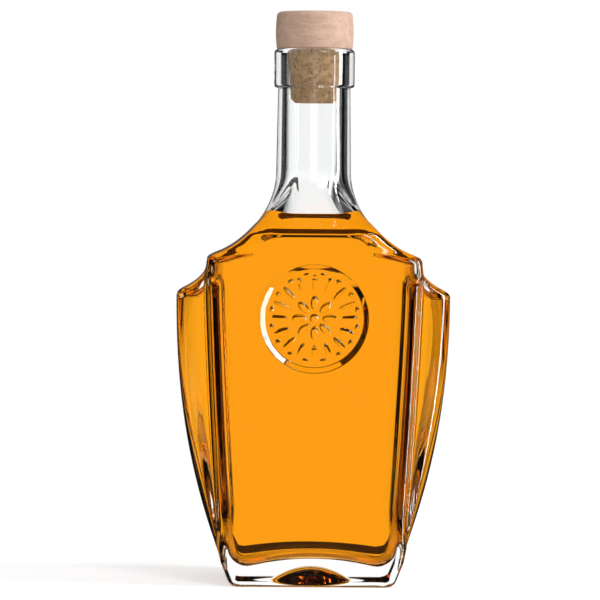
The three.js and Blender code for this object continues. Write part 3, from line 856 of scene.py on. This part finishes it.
def floorMaterial():
    material, tree = newMaterial("paleFloor")
    path = addNode(tree, "ShaderNodeLightPath")
    seen = addNode(tree, "ShaderNodeMath", {
        0: path.outputs["Is Camera Ray"], 1: path.outputs["Is Transmission Ray"]}, operation="MAXIMUM")
    tone = studio["floorTone"]
    diffuse = addNode(tree, "ShaderNodeBsdfDiffuse", {"Color": (tone, tone, tone, 1)})
    level = addNode(tree, "ShaderNodeMath", {
        0: seen.outputs[0], 1: studio["floorGlow"]}, operation="MULTIPLY")
    glow = addNode(tree, "ShaderNodeEmission", {"Strength": level.outputs[0]})
    both = addNode(tree, "ShaderNodeAddShader", {0: diffuse.outputs[0], 1: glow.outputs[0]})
    # the glass shows and mirrors the backdrop in the floor's place, which runs on below the table
    clear = addNode(tree, "ShaderNodeBsdfTransparent")
    mixed = addNode(tree, "ShaderNodeMixShader", {
        0: path.outputs["Is Glossy Ray"], 1: both.outputs[0], 2: clear.outputs[0]})
    addNode(tree, "ShaderNodeOutputMaterial", {"Surface": mixed.outputs[0]})
    return material


def makeFloor():
    corners, r = studio["floorCorners"], studio["floorRadius"]
    angle = np.linspace(0, 2 * math.pi, corners + 1)[:-1]
    points = np.stack([r * np.cos(angle), r * np.sin(angle), 0 * angle], axis=-1)
    mesh = bpy.data.meshes.new("floor")
    mesh.from_pydata(points.tolist(), [], [list(range(corners))])
    mesh.materials.append(floorMaterial())
    floor = bpy.data.objects.new("floor", mesh)
    bpy.context.scene.collection.objects.link(floor)


def roundaboutRamp(tree, azimuth, levels):
    # brightness over a whole turn, from -180 to 180 degrees, of which the azimuth is a share
    ramp = addNode(tree, "ShaderNodeValToRGB", {"Fac": azimuth})
    elements = ramp.color_ramp.elements
    elements.remove(elements[-1])
    for index, (degrees, level) in enumerate(levels):
        element = elements.new(degrees / 360 + 0.5) if index else elements[0]
        element.color = (level, level, level, 1)
    return ramp.outputs["Color"]


def makeWorld():
    world = bpy.data.worlds.new("studio")
    bpy.context.scene.world = world
    world.use_nodes = True
    tree = world.node_tree
    tree.nodes.clear()

    def worked(operation, a, b=0.0):
        return addNode(tree, "ShaderNodeMath", {0: a, 1: b}, operation=operation).outputs[0]

    direction = addNode(tree, "ShaderNodeTexCoord").outputs["Generated"]
    axes = addNode(tree, "ShaderNodeSeparateXYZ", {"Vector": direction})
    turn = worked("ARCTAN2", axes.outputs["X"], axes.outputs["Y"])
    azimuth = worked("ADD", worked("DIVIDE", turn, 2 * math.pi), 0.5)
    rise = axes.outputs["Z"]

    def between(value, low, high):
        return worked("MULTIPLY", worked("GREATER_THAN", value, low), worked("LESS_THAN", value, high))

    screens = worked("MULTIPLY", roundaboutRamp(tree, azimuth, studio["screens"]),
                    between(rise, studio["screenBottom"], studio["screenTop"]))
    table = worked("MULTIPLY", roundaboutRamp(tree, azimuth, studio["table"]),
                  worked("LESS_THAN", rise, studio["screenBottom"]))
    tableFront = worked("LESS_THAN", rise, studio["tableFront"])
    bright = worked("MAXIMUM", worked("MAXIMUM", screens, table), tableFront)
    through = worked("ADD", worked("MULTIPLY", bright, studio["through"]), studio["dark"])
    card = studio["card"]
    shape = worked("MULTIPLY", between(azimuth, card["from"] / 360 + 0.5, card["to"] / 360 + 0.5),
                  between(rise, card["bottom"], card["top"]))
    mirrored = worked("ADD", worked("MULTIPLY", bright, studio["reflected"]),
                     worked("ADD", worked("MULTIPLY", shape, card["bright"]), studio["dark"]))

    path = addNode(tree, "ShaderNodeLightPath")
    level = studio["skyLight"]
    shown = [("Is Glossy Ray", mirrored), ("Is Transmission Ray", through), ("Is Camera Ray", 1.0)]
    for ray, value in shown:
        choice = addNode(tree, "ShaderNodeMix", {"Factor": path.outputs[ray], "A": level, "B": value})
        level = choice.outputs["Result"]
    background = addNode(tree, "ShaderNodeBackground", {"Color": (1, 1, 1, 1), "Strength": level})
    addNode(tree, "ShaderNodeOutputWorld", {"Surface": background.outputs[0]})


softboxes = {  # metres and watts
    "rightStrip": {"place": (1.05, -0.25, 0.62), "size": (0.16, 1.2), "power": 7.5},
    "frontKey": {"place": (0.65, -1.35, 0.95), "size": (0.6, 0.6), "power": 9.5},
}


def makeSoftbox(name, setup):
    data = bpy.data.lights.new(name, "AREA")
    data.shape = "RECTANGLE"
    data.size, data.size_y = setup["size"]
    data.energy = setup["power"]
    lamp = bpy.data.objects.new(name, data)
    bpy.context.scene.collection.objects.link(lamp)
    place = Vector(setup["place"])
    turn = (Vector((0, 0, 0.11)) - place).to_track_quat("-Z", "Y").to_matrix().to_4x4()
    lamp.matrix_world = Matrix.Translation(place) @ turn
    return lamp


makeFloor()
makeWorld()
for name, setup in softboxes.items():
    makeSoftbox(name, setup)
bpy.context.scene.view_settings.view_transform = "Standard"
print("floor, backdrop and lights set")
